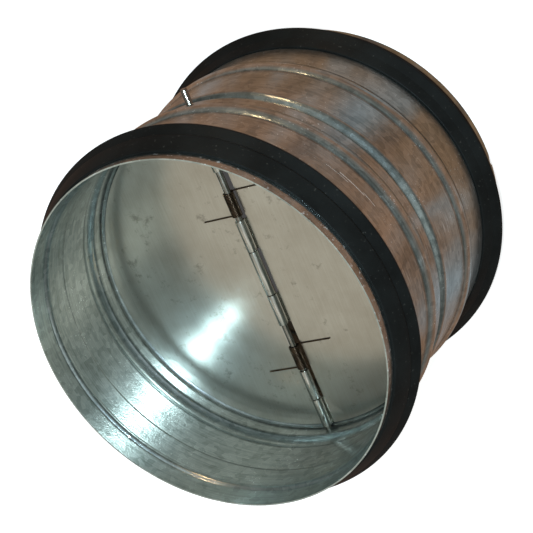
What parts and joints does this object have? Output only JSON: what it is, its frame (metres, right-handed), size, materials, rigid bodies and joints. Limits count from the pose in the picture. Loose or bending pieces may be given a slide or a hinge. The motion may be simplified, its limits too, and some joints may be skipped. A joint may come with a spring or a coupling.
{
  "type": "duct backdraft damper",
  "caption": "Round steel duct backdraft damper with rubber lip gaskets and hinged half-disc blades held shut by torsion springs.",
  "frame": {"origin": "centre of the inlet rim, on which the damper stands", "axes": "+Z along the sleeve's axis and out of the outlet, +Y along the hinge pin, one blade on the -X side and one on the +X side"},
  "size_m": [0.173, 0.1742, 0.145],
  "materials": {
    "galvanised_steel": "rolled galvanised sheet",
    "epdm_rubber": "moulded, matt",
    "blade_aluminium": "rolled mill finish",
    "pin_steel": "drawn bright rod",
    "spring_steel": "drawn spring wire"
  },
  "bodies": {
    "casing": {"sleeve": "galvanised_steel", "outlet_gasket": "epdm_rubber", "inlet_gasket": "epdm_rubber", "hinge_pin": "pin_steel", "upper_spring": "spring_steel", "lower_spring": "spring_steel"},
    "left_flap": {"left_blade": "blade_aluminium"},
    "right_flap": {"right_blade": "blade_aluminium"}
  },
  "joints": [
    {"name": "left_blade_hinge", "type": "hinge", "parent": "casing", "child": "left_flap", "pos_m": [0, 0, 0.0858], "axis": [0, 1, 0], "range_deg": [0, 82], "stiffness_Nm_per_rad": 0.01, "springref_deg": -28.65, "deforming": ["upper_spring", "lower_spring"]},
    {"name": "right_blade_hinge", "type": "hinge", "parent": "casing", "child": "right_flap", "pos_m": [0, 0, 0.0858], "axis": [0, -1, 0], "range_deg": [0, 82], "stiffness_Nm_per_rad": 0.01, "springref_deg": -28.65, "deforming": ["upper_spring", "lower_spring"]}
  ]
}
